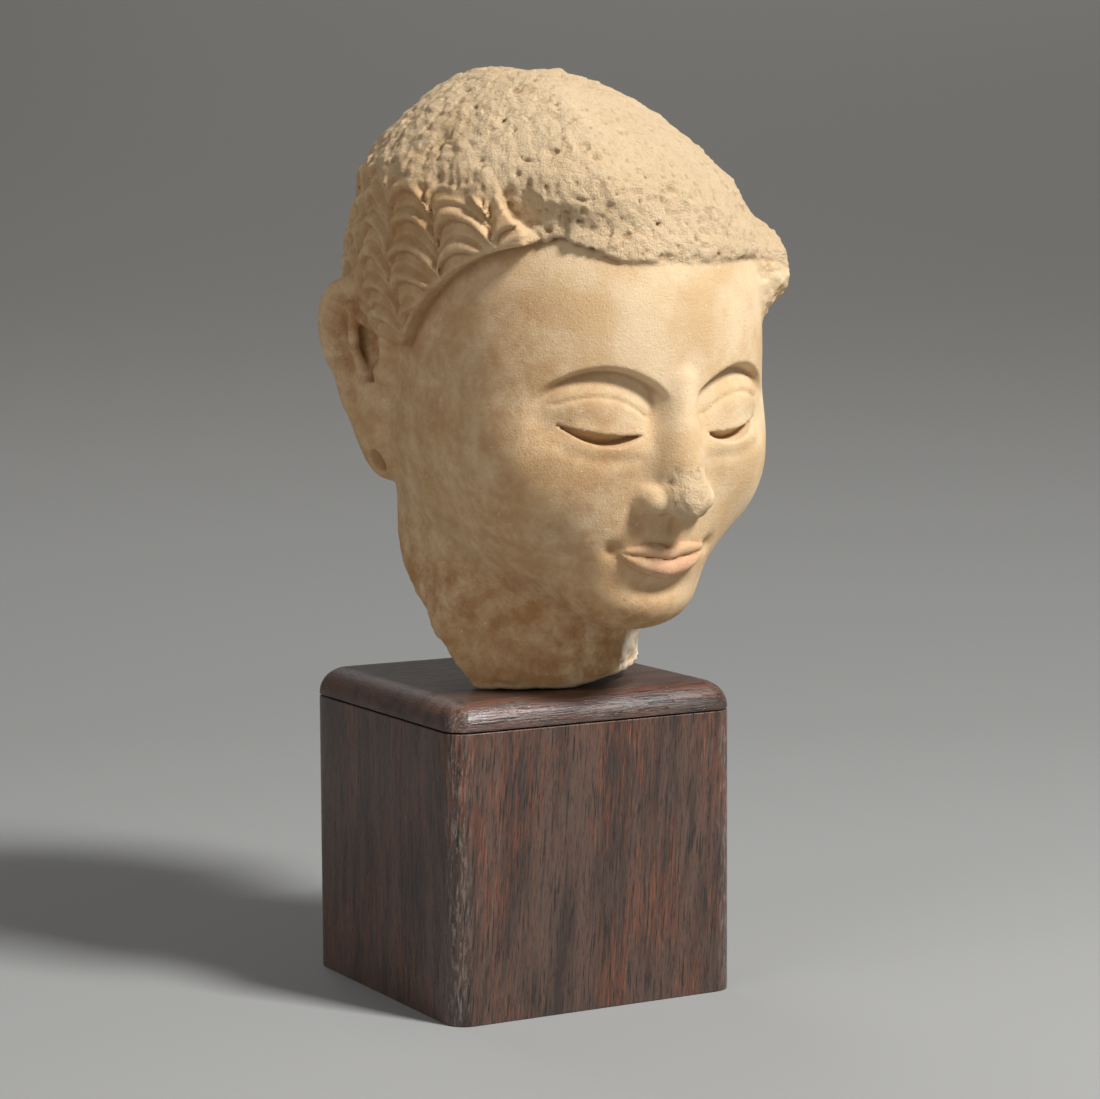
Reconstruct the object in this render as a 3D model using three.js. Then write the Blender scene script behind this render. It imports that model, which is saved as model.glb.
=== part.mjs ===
// A stucco head from a temple figure, broken off at the neck, standing on a square wooden plinth.
// The frame has +Z up and its origin at the middle of the plinth's underside. The plinth's front faces -Y.
import * as THREE from "three";

// Driving dimensions, in millimetres
const plinthSide = 102;
const plinthHeight = 101;
const capThickness = 9.2;
const cornerRadius = 7; // of the plinth's upright edges
const edgeRound = 8.6; // of the rounding that runs round the top of the cap
const roundedCornerTop = 1.4; // what is left of the corner radius on the cap's flat top
const restGap = 0.3; // between pieces that rest on one another
const headHeight = 166; // crown to chin, along the head's own axis

// How the head stands on the plinth
const headTurn = THREE.MathUtils.degToRad(4); // to its own left, about the upright
const headBow = THREE.MathUtils.degToRad(11); // forwards
const eyeLineRise = 0.615 * headHeight; // of the head's centre above the plinth
const headLead = 0.13 * headHeight; // of the head's centre in front of the plinth's middle
const headSide = 0.01 * headHeight; // of the head's centre to its own left

// How finely the pieces are faceted
const cornerSteps = 3; // in each eighth of a turn
const roundSteps = 6;
const headColumns = 100;
const headRows = 47;

// The figure is carved in hundredths of the head's height, about a centre on the eye line.
// X runs to the figure's left, Y to its back and Z to its crown. The classical canon divides the height
// into four equal parts: hair, forehead, nose, and mouth with chin. The face is five eyes wide.
const share = headHeight / 100;
const part = 25;
const chinZ = -1.75 * part;
const noseBaseZ = chinZ + part;
const browZ = noseBaseZ + part;
const hairlineZ = browZ + part;
const mouthZ = noseBaseZ - part / 3;
const faceWidth = 69;
const eyeWidth = faceWidth / 5;

const { min, max, abs, sqrt, hypot, sin, cos, exp, atan2, PI } = Math;

// Ways of joining two distances: k is the width of the soft seam between them
const softMin = (a, b, k) => {
  const h = max(k - abs(a - b), 0) / k;
  return min(a, b) - (h * h * k) / 4;
};
const softMax = (a, b, k) => -softMin(-a, -b, k);
const cutAway = (body, tool, k) => softMax(body, -tool, k);
const smoothStep = (from, to, value) => {
  const t = min(max((value - from) / (to - from), 0), 1);
  return t * t * (3 - 2 * t);
};
const bump = (value, centre, width) => exp(-(((value - centre) / width) ** 2));

// Distances from a point p = [x, y, z] to simple forms
const ball = (p, [cx, cy, cz], radius) =>
  hypot(p[0] - cx, p[1] - cy, p[2] - cz) - radius;
// A power above 2 makes an egg boxier
const egg = (p, centre, radii, power = 2) => {
  const parts = p.map((value, i) => abs(value - centre[i]) / radii[i]);
  const reach = (parts[0] ** power + parts[1] ** power + parts[2] ** power) ** (1 / power);
  if (reach === 0) return -min(...radii);
  const slopes = parts.map((value, i) => (value / reach) ** (power - 1) / radii[i]);
  return (reach - 1) / hypot(...slopes);
};
const rod = (p, a, b, ra, rb = ra) => {
  const along = [b[0] - a[0], b[1] - a[1], b[2] - a[2]];
  const away = [p[0] - a[0], p[1] - a[1], p[2] - a[2]];
  const length = along[0] ** 2 + along[1] ** 2 + along[2] ** 2;
  const dot = away[0] * along[0] + away[1] * along[1] + away[2] * along[2];
  const t = min(max(dot / length, 0), 1);
  const gap = hypot(away[0] - along[0] * t, away[1] - along[1] * t, away[2] - along[2] * t);
  return gap - (ra + (rb - ra) * t);
};
// A round rod through several points, such as the rim of an ear
const cord = (p, points, radius) => {
  let nearest = Infinity;
  for (let i = 1; i < points.length; i++)
    nearest = min(nearest, rod(p, points[i - 1], points[i], radius));
  return nearest;
};
// The same point on the figure's left side, whichever side it is on
const mirrored = (p) => [abs(p[0]), p[1], p[2]];

// Soft waves that repeat nowhere, for broken plaster
const roughness = (p, size) => {
  const [x, y, z] = p.map((v) => v / size);
  return (
    sin(1.7 * x + 2.1 * sin(1.3 * y + 0.4)) * sin(1.9 * z + 1.7 * sin(1.1 * x + 2.3)) +
    0.5 * sin(3.7 * y + 1.9 * sin(2.9 * z)) * sin(3.1 * x + 1.3)
  );
};

// The bare skull, jaw, cheeks and chin
const skullCentre = [0, 2, 16];
const skullRadii = [35, 41, 35.4];
function skullAndJaw(p) {
  const m = mirrored(p);
  let d = egg(p, skullCentre, skullRadii);
  d = softMin(d, egg(p, [0, -8, -5.5], [faceWidth / 2 - 1, 34, 38.5], 2.15), 7);
  d = softMin(d, egg(m, [15, -24, -13], [14, 14, 15]), 6);
  d = softMin(d, egg(p, [0, 5, -9], [31, 25, 27]), 6);
  d = softMin(d, egg(p, [0, -30, -26], [15, 11.8, 14]), 7);
  return softMin(d, egg(p, [0, -30.5, -36], [12, 11, 7.6]), 6);
}

// How far round the face a point lies from its middle, and the arch of the brows at that place
const aroundFace = (p) => abs(atan2(p[0], -p[1] - 8)) * faceWidth * 0.5;
const browArch = (around) => browZ + 2 - 4.6 * ((around - 15) / 12) ** 2;

// Hollows under sharp arched brows, and the heavy lids of lowered eyes
const socketDepth = 2.9;
const eyeCentre = [eyeWidth + 0.6, -26.6, -1.6];
const eyeRadii = [12.6, 11.2, 9.2];
const eyeTurn = 0.34; // how far the eye follows the face back, for each unit out
const lidThickness = 0.75;
const lidReach = 0.56 * eyeWidth; // from the middle of the eye's opening to a corner
const lidDroop = 2.2; // of the opening below the middle of the eyeball
const openingHeight = 2.7;
function withEyes(body, p) {
  const m = mirrored(p);
  const around = aroundFace(p);
  const underBrow = browArch(around) - p[2];
  const inward = smoothStep(2.4, 6, around) * (1 - smoothStep(23, 31, around));
  const hollow = smoothStep(0, 2, underBrow) * (1 - smoothStep(5, 15, underBrow)) * inward;
  let d = body + (p[1] < 0 ? socketDepth * hollow : 0);
  const eyeball = egg([m[0], m[1] - eyeTurn * (m[0] - eyeCentre[0]), m[2]], eyeCentre, eyeRadii);
  d = softMin(d, eyeball - lidThickness, 1.6);
  const across = (m[0] - eyeCentre[0]) / lidReach;
  const curve = max(1 - across ** 2, 0);
  const line = eyeCentre[2] - lidDroop + 0.5 * across;
  const upperLid = line - 0.5 * curve;
  const lowerLid = line - openingHeight * curve;
  const opening = max(m[2] - upperLid, lowerLid - m[2], (abs(across) - 1) * 6);
  d = cutAway(d, max(opening, eyeball - 3), 0.3);
  return softMin(d, eyeball, 0.3);
}

// A straight nose whose bridge runs on from the brows, with its wings and nostrils
const noseTip = [0, -46.4, noseBaseZ + 3.6];
function withNose(body, p) {
  const m = mirrored(p);
  let nose = rod(p, [0, -40.2, browZ - 1], [0, -45, noseBaseZ + 5], 2.3, 3.7);
  nose = softMin(nose, egg(p, [0, -39, noseBaseZ + 8], [6.4, 6.4, 11]), 3);
  nose = softMin(nose, ball(p, noseTip, 4), 2.4);
  nose = softMin(nose, egg(m, [4.9, -42, noseBaseZ + 2.9], [3.1, 4, 3]), 1.2);
  nose = softMax(nose, noseBaseZ - 0.2 - p[2], 1.2);
  const d = softMin(body, nose, 2);
  return cutAway(d, egg(m, [2.6, -44.6, noseBaseZ - 0.4], [1.3, 2.4, 1.6]), 0.6);
}

// Full lips with a bowed upper edge, drawn in at the corners
const mouthReach = 10.6; // from the middle to a corner
const upperLip = [2.8, 1.3]; // height and swell
const lowerLip = [3.7, 1.9];
function withMouth(body, p) {
  if (p[1] > 0) return body;
  const around = aroundFace(p);
  const u = min(around / mouthReach, 1);
  const parting = mouthZ + 0.9 * u * u - 0.4 * bump(around, 0, 1.8);
  const bow = upperLip[0] * (1 - u ** 2.4) - 0.5 * bump(around, 0, 1.6);
  const full = lowerLip[0] * (1 - u ** 2.2);
  const over = min(max((p[2] - parting) / max(bow, 0.2), 0), 1);
  const under = min(max((parting - p[2]) / max(full, 0.2), 0), 1);
  const swell =
    upperLip[1] * sqrt(4 * over * (1 - over)) * (1 - u ** 3) +
    lowerLip[1] * sqrt(4 * under * (1 - under)) * (1 - u ** 3);
  const philtrum = bump(around, 0, 1.4) * bump(p[2], mouthZ + 5.6, 2.2);
  const corners = bump(around, mouthReach + 0.6, 1.7) * bump(p[2], mouthZ + 1, 1.6);
  const chinHollow = bump(around, 0, 7) * bump(p[2], mouthZ - 6.4, 2.4);
  return body - swell + 0.7 * philtrum + 1.1 * corners + 1.3 * chinHollow;
}

// Long ears, closer to the jaw at the lobe: a rim round a hollow bowl, above a lobe slit for an earring
const earMiddle = [13.4, 2.6]; // back and up, of the bowl
const earReach = [7.6, 10]; // from there to the rim, back and up
const earRim = 1.5; // radius
const earLean = 0.17; // how far the ear stands out, for each unit up
const earFlare = 0.26; // and for each unit back
const earRimSteps = 14;
function earRimPath() {
  const path = [];
  for (let step = 0; step <= earRimSteps; step++) {
    const angle = THREE.MathUtils.degToRad(205 - (259 * step) / earRimSteps);
    path.push([
      37.9 + 0.4 * cos(angle),
      earMiddle[0] + earReach[0] * cos(angle),
      earMiddle[1] + earReach[1] * sin(angle),
    ]);
  }
  path.push([37.8, 16.6, -11], [37, 13.6, -17]);
  return path;
}
const earRimLine = earRimPath();
function withEars(body, p) {
  const [back, up] = earMiddle;
  const out = abs(p[0]) - earLean * (p[2] - 8) - earFlare * (p[1] - back);
  const m = [out, p[1], p[2]];
  let d = softMin(body, egg(m, [34.6, back, up], [4.4, 8.4, 12.2], 2.4), 1.6);
  d = softMin(d, egg(m, [34.8, 11.5, -14.5], [4.4, 5.6, 10.5]), 2);
  d = softMin(d, cord(m, earRimLine, earRim), 1.4);
  d = cutAway(d, egg(m, [40.4, back - 0.3, up - 0.4], [5.4, 5.6, 8.2]), 0.8);
  d = cutAway(d, egg(m, [36, 10.6, -2.6], [5, 2.3, 3]), 0.8);
  d = softMin(d, ball(m, [37, 7.4, -3.4], 2), 1.6);
  return cutAway(d, egg(m, [39, 10.2, -21], [4.4, 1.3, 2.4]), 0.6);
}

// The hair: a thick cap with a clean edge over the forehead, carved in rows of arched locks
const hairRise = 4.2;
const edgeOverBrow = 29.7; // height of the hair's lower edge there
const edgeAtTemple = 4.5;
const templeAt = 1.33; // radians round the head where the edge is lowest
const lockRows = 5.3; // rise of one row of locks
const firstRow = 24;
const lockColumns = 0.335; // width of one column of locks, in radians round the head
const firstColumn = 0.795;
const lockLean = 0.011; // radians that a column leans back, for each unit up
const lockArch = 1.15; // rise of each lock's arch, in rows
const lockDepth = 2.1;
const locksEnd = 34.5; // above this they are worn away
const aroundHair = (p) => atan2(p[0], -p[1] + 6);
function hairEdge(p) {
  // Highest over the brow, broken a little shorter in front, and dropping past the temples to behind the ears
  const around = aroundHair(p);
  const fall = min(abs(around) / templeAt, 1) ** 4;
  const whole = edgeOverBrow - (edgeOverBrow - edgeAtTemple) * fall;
  const chipped = 2.8 * smoothStep(-0.6, -0.25, around) * (1 - smoothStep(0.7, 1, around));
  return whole - chipped - 12 * smoothStep(1.9, 2.4, abs(around));
}
function lockRelief(p) {
  const lean = lockLean * (p[2] - firstRow);
  const columns = (abs(aroundHair(p)) - lean - firstColumn) / lockColumns;
  const column = Math.floor(columns);
  const across = 2 * (columns - column) - 1;
  const arch = lockArch * (1 - sqrt(1 - 0.97 * across ** 2));
  const rise = (p[2] - firstRow) / lockRows + arch + 0.3 * sin((PI / 2) * column);
  const phase = rise - Math.floor(rise);
  return lockDepth * (1.2 * bump(phase, 0.4, 0.28) - 0.3 * smoothStep(0.8, 1, abs(across)) - 0.5);
}
// How much of the hair is lost, from 0 where it is whole to 1 where it is broken to the core
function hairLoss(p) {
  const frontAndTop = p[0] * 0.62 - p[1] * 0.42 + p[2] * 0.66 + 1.6 * roughness(p, 7);
  const kept = bump(aroundHair(p), 1.02, 0.3) * bump(p[2], 16, 9);
  return smoothStep(14.5, 17.5, frontAndTop) * (1 - kept);
}
function withHair(body, p) {
  const loss = hairLoss(p);
  const edge = hairEdge(p);
  const worn = max(loss, smoothStep(-1, 1.2, p[2] - locksEnd));
  const crown = smoothStep(33, 45, p[2]) * smoothStep(-16, 4, p[0]);
  const lost = 0.85 * loss * (1 - crown) + 0.5 * crown;
  const fuller = 2.6 * smoothStep(-4, -18, p[0]) * smoothStep(24, 38, p[2]);
  let hair = egg(p, skullCentre, skullRadii) - hairRise * (1 - lost) - fuller;
  hair -= (1 - worn) * lockRelief(p) * smoothStep(0, 2, p[2] - edge);
  hair = softMax(hair, 0.8 * (edge - p[2]), 0.9);
  const templeLump = egg(p, [26.8, -19.4, 22], [8.6, 9, 8.6]);
  let d = softMin(softMin(body, hair, 0.5), templeLump, 4);
  const brokenTop = 0.4 * p[0] - 0.31 * p[1] + 0.86 * p[2] - 48 + 0.8 * roughness(p, 9);
  d = softMax(d, brokenTop, 5);
  d = softMin(d, egg(p, [-4, 6, 49.6], [8.5, 8.5, 4.8]) + 0.5 * roughness(p, 4), 1.4);
  const crumbled = max(worn * smoothStep(-1.2, 1.4, p[2] - edge), smoothStep(3, 0, templeLump));
  return d - 0.5 * crumbled * roughness(p, 5);
}

// The neck, narrowing to the break that the head stands on
function withNeck(body, p) {
  const neck = rod(p, [-1, 5, -25], [-2, -2, -75], 25.5, 22.5);
  return softMin(body, neck, 4);
}

// The turn and bow of the head, from its own frame to the part's
const pose = new THREE.Matrix4()
  .makeRotationZ(headTurn)
  .multiply(new THREE.Matrix4().makeRotationX(headBow));
const headCentre = new THREE.Vector3(
  headLead * sin(headTurn) + headSide * cos(headTurn),
  headSide * sin(headTurn) - headLead * cos(headTurn),
  plinthHeight + restGap + eyeLineRise,
);
pose.setPosition(headCentre);
pose.scale(new THREE.Vector3(share, share, share));
const partToHead = pose.clone().invert();
const upright = new THREE.Vector3(0, 0, 1).transformDirection(partToHead).toArray();
const seat = new THREE.Vector3(headCentre.x, headCentre.y, plinthHeight + restGap)
  .applyMatrix4(partToHead)
  .toArray();
const dot = (a, b) => a[0] * b[0] + a[1] * b[1] + a[2] * b[2];
const less = (a, b) => [a[0] - b[0], a[1] - b[1], a[2] - b[2]];

// What time and the break have taken: the back, the nape and the foot of the neck
function withBreaks(body, p) {
  const rough = 0.5 * roughness(p, 6);
  let d = softMax(body, 0.86 * p[1] + 0.51 * p[2] - 48 + rough, 9);
  d = softMax(d, p[1] - 37 + rough, 6);
  // Behind and under the ears the break slants forwards to the foot of the neck
  const nape = 0.5 * p[1] - 0.45 * p[0] - 0.7 * p[2] - 45 + rough;
  d = softMax(d, nape, 1.5);
  // The foot stands flat at the back right and lifts towards the front left
  const overSeat = dot(less(p, seat), upright);
  const lifted = overSeat - 0.16 * max(p[0] - p[1] * 0.4 - 4, 0) + 0.4 * rough;
  d = softMax(d, -lifted, 0.6);
  return max(d, -overSeat);
}

function headDistance(p) {
  let d = skullAndJaw(p);
  d = withEyes(d, p);
  d = withNose(d, p);
  d = withMouth(d, p);
  d = withEars(d, p);
  d = withHair(d, p);
  d = withNeck(d, p);
  return withBreaks(d, p);
}

// How far out the surface lies from the head's centre in one direction
function surfaceReach(direction) {
  const at = (reach) => headDistance(direction.map((v) => v * reach));
  let outside = 95;
  for (let step = 0; step < 200; step++) {
    const gap = at(outside);
    if (gap < 0.02) break;
    outside -= max(0.5 * gap, 0.05);
  }
  let inside = outside - 0.4;
  for (let step = 0; step < 12; step++) {
    const middle = (inside + outside) / 2;
    if (at(middle) > 0) outside = middle;
    else inside = middle;
  }
  return outside;
}

// Angles from start to end, closer together where the weight is greater
function spread(count, start, end, weight) {
  const fine = 720;
  const total = [0];
  for (let i = 1; i <= fine; i++)
    total.push(total[i - 1] + weight(start + ((end - start) * (i - 0.5)) / fine));
  const angles = [];
  for (let n = 0, i = 0; n <= count; n++) {
    const wanted = (total[fine] * n) / count;
    while (i < fine - 1 && total[i + 1] < wanted) i++;
    const inStep = (wanted - total[i]) / (total[i + 1] - total[i]);
    angles.push(start + ((end - start) * (i + inStep)) / fine);
  }
  return angles;
}

// The head is a sphere's net drawn onto the carved surface, with more of its columns and rows over the face
function makeHead() {
  const geometry = new THREE.SphereGeometry(1, headColumns, headRows);
  const position = geometry.attributes.position;
  const longitudes = spread(
    headColumns,
    -PI,
    PI,
    (a) => 1 + 3.4 * bump(a, 0, 0.6) + 3 * bump(abs(a), 1.6, 0.4),
  );
  const latitudes = spread(headRows, 0, PI, (a) => 1 + 1.7 * bump(a, 1.85, 0.5));
  for (let i = 0; i < position.count; i++) {
    const column = (i % (headColumns + 1)) % headColumns;
    const row = Math.floor(i / (headColumns + 1));
    const around = longitudes[column];
    const ring = row === 0 || row === headRows ? 0 : sin(latitudes[row]);
    const direction = [ring * sin(around), -ring * cos(around), cos(latitudes[row])];
    const reach = surfaceReach(direction);
    position.setXYZ(i, ...direction.map((v) => v * reach));
  }
  geometry.computeVertexNormals();
  const stucco = new THREE.MeshStandardMaterial({ color: 0xc9ab82, roughness: 0.9, metalness: 0 });
  const head = new THREE.Mesh(geometry, stucco);
  head.name = "head";
  head.applyMatrix4(pose);
  return head;
}

// One level of the plinth: a square with round corners, as points in order round it
function roundedSquare(side, radius, height) {
  const shape = new THREE.Shape();
  const middle = side / 2 - radius;
  const corners = [
    [middle, middle],
    [-middle, middle],
    [-middle, -middle],
    [middle, -middle],
  ];
  corners.forEach(([x, y], quarter) => {
    shape.absarc(x, y, radius, (quarter * PI) / 2, ((quarter + 1) * PI) / 2);
  });
  return shape.getPoints(cornerSteps).map(({ x, y }) => [x, y, height]);
}

// A closed solid through level rings of equally many points, from the lowest to the highest
function loft(rings) {
  const count = rings[0].length;
  const middle = ([, , height]) => [0, 0, height];
  const points = [middle(rings[0][0]), ...rings.flat(), middle(rings.at(-1)[0])];
  const faces = [];
  for (let i = 0; i < count; i++) {
    const next = (i + 1) % count;
    faces.push(0, 1 + next, 1 + i);
    for (let level = 0; level < rings.length - 1; level++) {
      const low = 1 + level * count;
      const high = low + count;
      faces.push(low + i, low + next, high + next, low + i, high + next, high + i);
    }
    const top = 1 + (rings.length - 1) * count;
    faces.push(top + i, top + next, points.length - 1);
  }
  const geometry = new THREE.BufferGeometry();
  geometry.setAttribute("position", new THREE.Float32BufferAttribute(points.flat(), 3));
  geometry.setIndex(faces);
  geometry.computeVertexNormals();
  return geometry;
}

const darkWood = () =>
  new THREE.MeshStandardMaterial({ color: 0x38221b, roughness: 0.42, metalness: 0 });

// The plinth's block stands on its end grain
function makePlinthBody() {
  const top = plinthHeight - capThickness - restGap;
  const rings = [0, top].map((height) => roundedSquare(plinthSide, cornerRadius, height));
  const body = new THREE.Mesh(loft(rings), darkWood());
  body.name = "plinth_body";
  return body;
}

// The board across its top, rounded over on all four sides
function makePlinthCap() {
  const rings = [roundedSquare(plinthSide, cornerRadius, plinthHeight - capThickness)];
  for (let step = 0; step <= roundSteps; step++) {
    const angle = ((PI / 2) * step) / roundSteps;
    const inset = edgeRound * (1 - cos(angle));
    const radius = cornerRadius - ((cornerRadius - roundedCornerTop) * inset) / edgeRound;
    const height = plinthHeight - edgeRound * (1 - sin(angle));
    rings.push(roundedSquare(plinthSide - 2 * inset, radius, height));
  }
  const cap = new THREE.Mesh(loft(rings), darkWood());
  cap.name = "plinth_cap";
  return cap;
}

const statue = new THREE.Group();
statue.add(makePlinthBody(), makePlinthCap(), makeHead());
export default statue;
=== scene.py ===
import math

import bpy
import numpy as np
from mathutils import Matrix, Vector


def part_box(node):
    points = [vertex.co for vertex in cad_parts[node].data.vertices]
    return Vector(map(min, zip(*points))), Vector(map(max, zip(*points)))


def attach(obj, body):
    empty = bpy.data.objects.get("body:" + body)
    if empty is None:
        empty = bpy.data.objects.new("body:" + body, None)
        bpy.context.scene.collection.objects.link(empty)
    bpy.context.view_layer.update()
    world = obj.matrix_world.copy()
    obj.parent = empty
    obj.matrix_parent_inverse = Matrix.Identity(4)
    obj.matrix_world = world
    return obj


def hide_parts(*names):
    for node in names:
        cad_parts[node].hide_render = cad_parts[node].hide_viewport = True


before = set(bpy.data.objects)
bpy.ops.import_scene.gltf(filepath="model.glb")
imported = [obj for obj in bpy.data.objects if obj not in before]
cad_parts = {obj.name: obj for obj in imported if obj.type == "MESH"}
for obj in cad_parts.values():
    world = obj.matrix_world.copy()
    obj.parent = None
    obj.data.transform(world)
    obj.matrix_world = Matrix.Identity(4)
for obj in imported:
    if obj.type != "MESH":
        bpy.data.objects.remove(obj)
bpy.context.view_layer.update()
millimetre = 0.001

# view
view = {
    "place": (-0.48117, -0.89066, 0.24662),
    "turn": math.radians(28.95),  # to the right of straight ahead, +Y
    "tip": math.radians(5.94),  # downwards
    "roll": math.radians(-0.31),
    "lens": 102.4,
    "sensor": 36.0,
}


def axesOfView():
    turn, tip, roll = view["turn"], view["tip"], view["roll"]
    ahead = Vector((math.sin(turn) * math.cos(tip), math.cos(turn) * math.cos(tip), -math.sin(tip)))
    right = Vector((math.cos(turn), -math.sin(turn), 0))
    up = right.cross(ahead)
    return (
        right * math.cos(roll) + up * math.sin(roll),
        up * math.cos(roll) - right * math.sin(roll),
        ahead,
    )


def makeCamera():
    right, up, ahead = axesOfView()
    data = bpy.data.cameras.new("photoView")
    data.lens = view["lens"]
    data.sensor_width = view["sensor"]
    data.clip_end = 20
    made = bpy.data.objects.new("photoView", data)
    turned = Matrix((right, up, -ahead)).transposed().to_4x4()
    made.matrix_world = Matrix.Translation(view["place"]) @ turned
    bpy.context.collection.objects.link(made)
    bpy.context.scene.camera = made


# small helpers for node trees
def plug(tree, socket, value):
    if isinstance(value, bpy.types.NodeSocket):
        tree.links.new(value, socket)
    else:
        socket.default_value = value


def addNode(tree, kind, settings=None, inputs=None):
    made = tree.nodes.new(kind)
    for name, value in (settings or {}).items():
        setattr(made, name, value)
    for name, value in (inputs or {}).items():
        plug(tree, made.inputs[name], value)
    return made


def calc(tree, operation, *values, clamp=False):
    made = tree.nodes.new("ShaderNodeMath")
    made.operation = operation
    made.use_clamp = clamp
    for socket, value in zip(made.inputs, values):
        plug(tree, socket, value)
    return made.outputs[0]


def vectorCalc(tree, operation, *values):
    made = tree.nodes.new("ShaderNodeVectorMath")
    made.operation = operation
    for socket, value in zip(made.inputs, values):
        plug(tree, socket, value)
    return made.outputs["Vector"]


def remap(tree, value, low, high, outLow=0.0, outHigh=1.0):
    settings = {"clamp": True, "interpolation_type": "SMOOTHSTEP"}
    inputs = {"Value": value, "From Min": low, "From Max": high, "To Min": outLow, "To Max": outHigh}
    return addNode(tree, "ShaderNodeMapRange", settings, inputs).outputs["Result"]


def blendColours(tree, amount, first, second, way="MIX"):
    made = addNode(tree, "ShaderNodeMix", {"data_type": "RGBA", "blend_type": way})
    plug(tree, made.inputs[0], amount)
    plug(tree, made.inputs[6], first)
    plug(tree, made.inputs[7], second)
    return made.outputs[2]


def noiseOf(tree, place, size, detail=3.0, rough=0.55, warp=0.0):
    inputs = {
        "Vector": place,
        "Scale": 1 / (size * millimetre),
        "Detail": detail,
        "Roughness": rough,
        "Distortion": warp,
    }
    return addNode(tree, "ShaderNodeTexNoise", None, inputs).outputs["Fac"]


def openGroup(kind, name, inputs, outputs):
    tree = bpy.data.node_groups.new(name, kind)
    for direction, sockets in (("INPUT", inputs), ("OUTPUT", outputs)):
        for label, socketKind, value in sockets:
            made = tree.interface.new_socket(name=label, in_out=direction, socket_type=socketKind)
            if value is not None:
                made.default_value = value
    return tree, addNode(tree, "NodeGroupInput"), addNode(tree, "NodeGroupOutput")


# floor, backdrop and light
studio = {
    "floorReach": 2.6,
    "wallStart": 0.5,  # behind the plinth, along the view
    "bendRadius": 2.2,
    "wallHeight": 4.0,
    "paper": (0.33, 0.33, 0.323, 1),
    # darker and lighter paper, for painted shade and painted light by height
    "shadedPaper": (0.25, 0.245, 0.235, 1),
    "fullShadeHeight": 0.2,  # where the painted shade on the paper is full
    "litPaper": (0.46, 0.45, 0.43, 1),
    "fullLightHeight": 0.8,
    "keyPower": 41.0,
    "keyPlace": (0.95, -0.75, 1.15),  # right, ahead and up, from the object
    "keySize": 0.3,
    "fillPower": 10.0,
    "fillPlace": (-1.4, -1.5, 0.7),
    "fillSize": 1.4,
    "rimPower": 4.0,
    "rimPlace": (-0.5, 1.0, 1.1),
    "rimSize": 0.7,
    "skyLight": 0.13,
}


def placeInView(place):
    right, up, ahead = axesOfView()
    flatAhead = Vector((ahead.x, ahead.y, 0)).normalized()
    flatRight = Vector((flatAhead.y, -flatAhead.x, 0))
    return flatRight * place[0] + flatAhead * place[1] + Vector((0, 0, place[2]))


def makeSweep():
    profile = [(-studio["floorReach"], 0.0), (studio["wallStart"], 0.0)]
    bend = studio["bendRadius"]
    for step in range(1, 25):
        angle = math.pi / 2 * step / 24
        profile.append((studio["wallStart"] + bend * math.sin(angle), bend * (1 - math.cos(angle))))
    profile.append((studio["wallStart"] + bend, studio["wallHeight"]))
    points = [placeInView((side * 4.0, ahead, up)) for ahead, up in profile for side in (-1, 1)]
    faces = [(2 * i, 2 * i + 1, 2 * i + 3, 2 * i + 2) for i in range(len(profile) - 1)]
    mesh = bpy.data.meshes.new("sweep")
    mesh.from_pydata(points, [], faces)
    mesh.shade_smooth()
    made = bpy.data.objects.new("sweep", mesh)
    bpy.context.collection.objects.link(made)
    paper = bpy.data.materials.new("studioPaper")
    paper.use_nodes = True
    shader = paper.node_tree.nodes["Principled BSDF"]
    place = addNode(paper.node_tree, "ShaderNodeTexCoord").outputs["Object"]
    height = addNode(paper.node_tree, "ShaderNodeSeparateXYZ", None, {"Vector": place}).outputs["Z"]
    # painted shade darkens the paper from the floor up to 0.2 m, then painted light brightens it again up to 0.8 m
    paperShade = remap(paper.node_tree, height, 0.0, studio["fullShadeHeight"])
    colour = blendColours(paper.node_tree, paperShade, studio["paper"], studio["shadedPaper"])
    high = remap(paper.node_tree, height, studio["fullShadeHeight"], studio["fullLightHeight"])
    colour = blendColours(paper.node_tree, high, colour, studio["litPaper"])
    paper.node_tree.links.new(colour, shader.inputs["Base Color"])
    shader.inputs["Roughness"].default_value = 0.9
    shader.inputs["Specular IOR Level"].default_value = 0.1
    mesh.materials.append(paper)


def makeLight(name, power, place, size):
    data = bpy.data.lights.new(name, "AREA")
    data.energy = power
    data.size = size
    made = bpy.data.objects.new(name, data)
    target = Vector((0, 0, 0.15))
    made.location = placeInView(place) + target
    made.rotation_euler = (target - made.location).to_track_quat("-Z", "Y").to_euler()
    bpy.context.collection.objects.link(made)


def makeStudio():
    makeSweep()
    makeLight("keyLight", studio["keyPower"], studio["keyPlace"], studio["keySize"])
    makeLight("fillLight", studio["fillPower"], studio["fillPlace"], studio["fillSize"])
    makeLight("rimLight", studio["rimPower"], studio["rimPlace"], studio["rimSize"])
    world = bpy.data.worlds.new("softSky")
    world.use_nodes = True
    world.node_tree.nodes["Background"].inputs["Color"].default_value = (0.94, 0.91, 0.86, 1)
    world.node_tree.nodes["Background"].inputs["Strength"].default_value = studio["skyLight"]
    bpy.context.scene.world = world
    bpy.context.scene.view_settings.view_transform = "Standard"


makeCamera()
makeStudio()
print("view and studio ready")

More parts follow.
